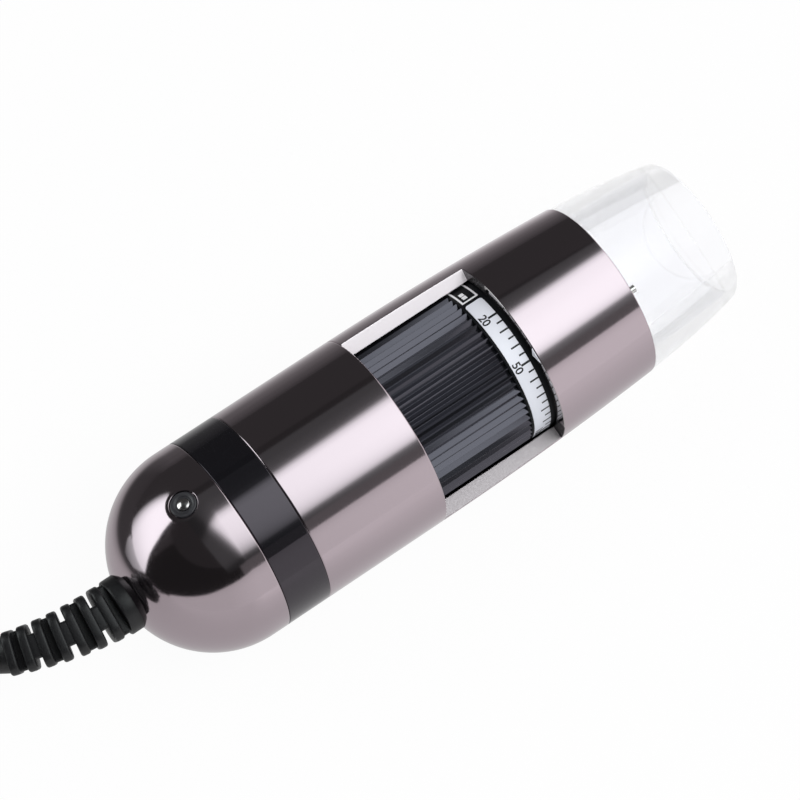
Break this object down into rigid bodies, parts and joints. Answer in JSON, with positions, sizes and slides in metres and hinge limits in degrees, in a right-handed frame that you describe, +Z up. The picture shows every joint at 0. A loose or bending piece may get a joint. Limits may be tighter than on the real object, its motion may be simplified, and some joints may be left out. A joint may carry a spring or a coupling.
{
  "type": "handheld digital microscope",
  "caption": "Slim round handheld digital microscope with a ribbed focus dial in a side window, a clear contact cap, a domed rear with a snapshot button, and a fixed lead with a plug.",
  "frame": {"origin": "on the table under the middle of the body, which lies on its side; the lead is left out", "axes": "+X along the body towards the lens and the clear cap, +Z up from the table, and -Y towards the side that the focus window faces"},
  "size_m": [0.2526, 0.0374, 0.032],
  "materials": {
    "shell_metal": "satin gunmetal with fine flake",
    "band_black": "glossy black",
    "dial_black": "fine satin",
    "scale_white": "satin white",
    "pin_steel": "turned",
    "frame_black": "moulded",
    "ring_aluminium": "turned",
    "board_green": "solder mask",
    "board_white": "white solder mask",
    "chip_black": "moulded",
    "can_metal": "plain",
    "socket_ivory": "moulded",
    "ribbon_amber": "film",
    "lens_glass": "polished",
    "lamp_clear": "clear cast",
    "cap_clear": "clear moulded",
    "button_metal": "satin",
    "wire_red": "wire cover",
    "lead_black": "satin moulded",
    "shell_steel": "plated",
    "tongue_white": "moulded",
    "contact_brass": "plated"
  },
  "bodies": {
    "housing": {"rear_dome": "shell_metal", "label_band": "band_black", "rear_sleeve": "shell_metal", "front_sleeve": "shell_metal", "index_pin": "pin_steel", "index_mark": "scale_white", "coupler_ring": "frame_black", "chassis_tube": "frame_black", "dial_retainer": "ring_aluminium", "main_board": "board_green", "board_chips": "chip_black", "board_crystal": "can_metal", "board_connectors": "socket_ivory", "board_screws": "pin_steel", "flex_cable": "ribbon_amber", "lamp_carrier": "frame_black", "lamp_board": "board_white", "lamps": "lamp_clear", "lamp_screws": "pin_steel", "lamp_ribbon": "ribbon_amber", "button_collar": "frame_black", "button_switch": "chip_black", "switch_holder": "frame_black", "button_wires": "wire_red", "strain_relief": "lead_black", "inner_lead": "lead_black", "cord_lead": "lead_black", "cord_hank": "lead_black", "cord_tail": "lead_black", "hank_tie": "lead_black", "plug_grip": "lead_black", "plug_shell": "shell_steel", "plug_tongue": "tongue_white", "plug_contacts": "contact_brass"},
    "dial": {"focus_dial": "dial_black", "scale_strip": "scale_white"},
    "carriage": {"lens_carriage": "frame_black", "follower_pin": "pin_steel", "front_lens": "lens_glass", "rear_lens": "lens_glass", "aperture_stop": "frame_black", "lens_retainer": "ring_aluminium", "sensor_board": "board_green", "image_sensor": "chip_black", "sensor_glass": "lens_glass", "sensor_socket": "socket_ivory", "sensor_screws": "pin_steel"},
    "cap": {"front_cap": "cap_clear"},
    "button": {"snapshot_button": "button_metal", "switch_plunger": "socket_ivory"}
  },
  "joints": [
    {"name": "dial_turn", "type": "hinge", "parent": "housing", "child": "dial", "pos_m": [0, 0, 0.016], "axis": [1, 0, 0], "range_deg": [-201.2, 36.2]},
    {"name": "carriage_slide", "type": "slide", "parent": "housing", "child": "carriage", "axis": [1, 0, 0], "range_m": [-0.00136, 0.00759], "deforming": ["flex_cable"]},
    {"name": "cap_pull", "type": "slide", "parent": "housing", "child": "cap", "axis": [1, 0, 0], "range_m": [0, 0.006]},
    {"name": "button_press", "type": "slide", "parent": "housing", "child": "button", "axis": [0.1874, -0.1824, -0.9652], "range_m": [0, 0.0004], "stiffness_N_per_m": 800}
  ],
  "couplings": [
    {"joint": "dial_turn", "follows": "carriage_slide", "rad_per_m": -462}
  ]
}
